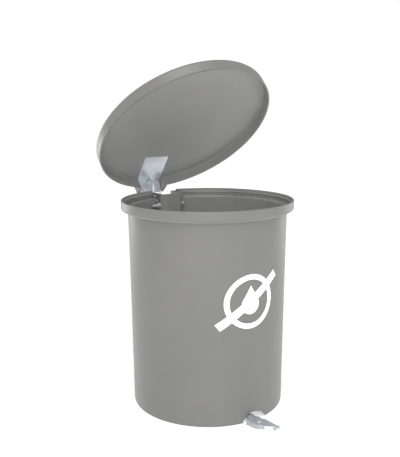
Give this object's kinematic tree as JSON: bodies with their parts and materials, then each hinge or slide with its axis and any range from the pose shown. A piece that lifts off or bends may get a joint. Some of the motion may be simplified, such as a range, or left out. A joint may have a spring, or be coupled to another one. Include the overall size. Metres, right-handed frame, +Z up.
{
  "type": "oily waste can",
  "caption": "Round step-on oily waste can with a collar rim, rear hinged lid held open, push rod in a rear channel and a zinc foot pedal.",
  "frame": {"origin": "centre of the base circle, on the surface the can stands on", "axes": "+Z up, -Y towards the foot pedal, +Y towards the lid hinge, X along the hinge"},
  "size_m": [0.418, 0.501, 0.7613],
  "materials": {
    "fibreglass": "satin moulded grey fibreglass",
    "zinc_plate": "bright bluish zinc plating on pressed steel",
    "zinc_fastener": "zinc plated fasteners",
    "zinc_rod": "zinc plated round bar",
    "decal_film": "matt white vinyl film",
    "rubber_seal": "black rubber"
  },
  "bodies": {
    "can": {"can_body": "fibreglass", "raised_floor": "fibreglass", "decal": "decal_film", "hinge_frame": "zinc_plate", "frame_bolts": "zinc_fastener", "frame_nuts": "zinc_fastener", "frame_washers": "zinc_fastener", "frame_rivets": "zinc_fastener", "hinge_pin": "zinc_fastener", "hinge_spacer": "zinc_fastener", "hinge_washers": "zinc_fastener", "hinge_pin_clip": "zinc_fastener", "pivot_saddle": "zinc_plate", "lever_pin": "zinc_fastener", "lever_pin_clip": "zinc_fastener", "saddle_bolts": "zinc_fastener", "saddle_nuts": "zinc_fastener", "saddle_seals": "rubber_seal"},
    "lid_assembly": {"lid": "fibreglass", "lid_bracket": "zinc_plate", "bracket_rivets": "zinc_fastener"},
    "rod_assembly": {"push_rod": "zinc_rod", "rod_washers": "zinc_fastener", "rod_clips": "zinc_fastener"},
    "pedal_assembly": {"pedal_lever": "zinc_plate", "foot_pedal": "zinc_plate", "pedal_rivets": "zinc_fastener"}
  },
  "joints": [
    {"name": "lid_hinge", "type": "hinge", "parent": "can", "child": "lid_assembly", "pos_m": [0, 0.2537, 0.4192], "axis": [-1, 0, 0], "range_deg": [-41.6, 0]},
    {"name": "rod_hook", "type": "hinge", "parent": "lid_assembly", "child": "rod_assembly", "pos_m": [0, 0.22985, 0.47926], "axis": [-1, 0, 0], "range_deg": [0, 36.94]},
    {"name": "pedal_pivot", "type": "hinge", "parent": "can", "child": "pedal_assembly", "pos_m": [0, -0.115, 0.013], "axis": [-1, 0, 0], "range_deg": [0, 7.67]}
  ],
  "couplings": [
    {"joint": "rod_hook", "follows": "lid_hinge", "ratio": -0.8874},
    {"joint": "pedal_pivot", "follows": "lid_hinge", "ratio": -0.1839}
  ]
}
